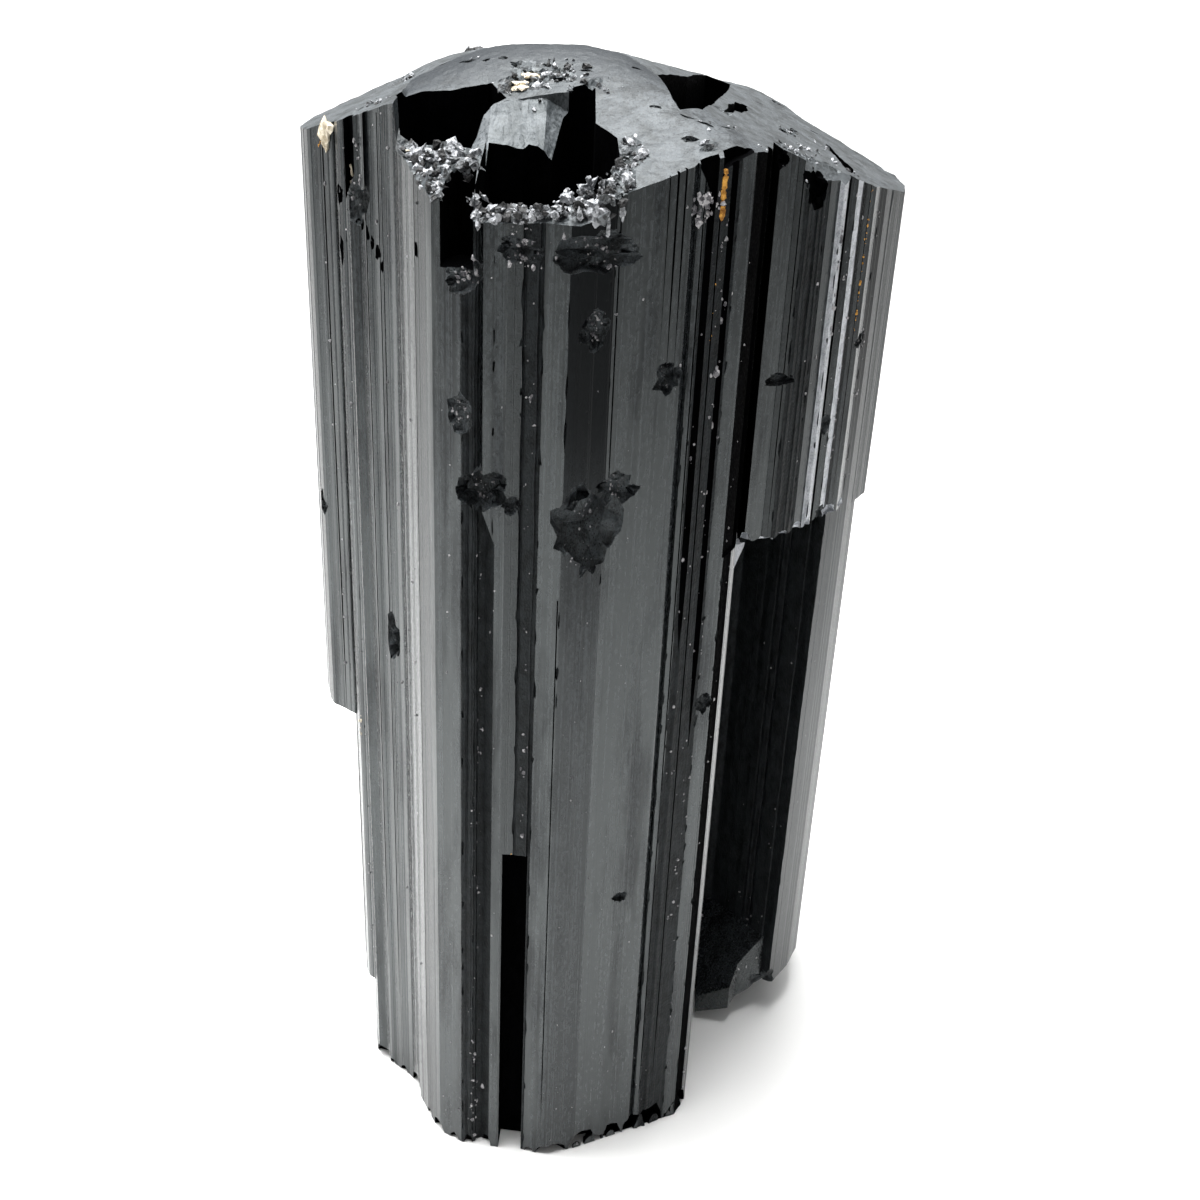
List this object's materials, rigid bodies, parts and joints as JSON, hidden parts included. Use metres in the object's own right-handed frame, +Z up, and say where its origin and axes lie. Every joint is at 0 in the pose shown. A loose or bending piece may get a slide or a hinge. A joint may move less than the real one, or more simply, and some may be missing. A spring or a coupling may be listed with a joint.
{
  "type": "tourmaline crystal",
  "caption": "Upright black tourmaline crystal: a striated prismatic bundle with a notched side, low roof faces and a hollowed, broken top.",
  "frame": {"origin": "middle of the crystal's plan box, on its flat broken base", "axes": "+Z up along the crystal's length, -Y towards the side with the wide striated front face, +X towards the notched side"},
  "size_m": [0.0502, 0.0436, 0.0984],
  "materials": {
    "schorl": "glossy black, finely striated lengthwise, with rough broken pits"
  },
  "bodies": {
    "root": {"tourmaline_crystal": "schorl"}
  },
  "joints": []
}
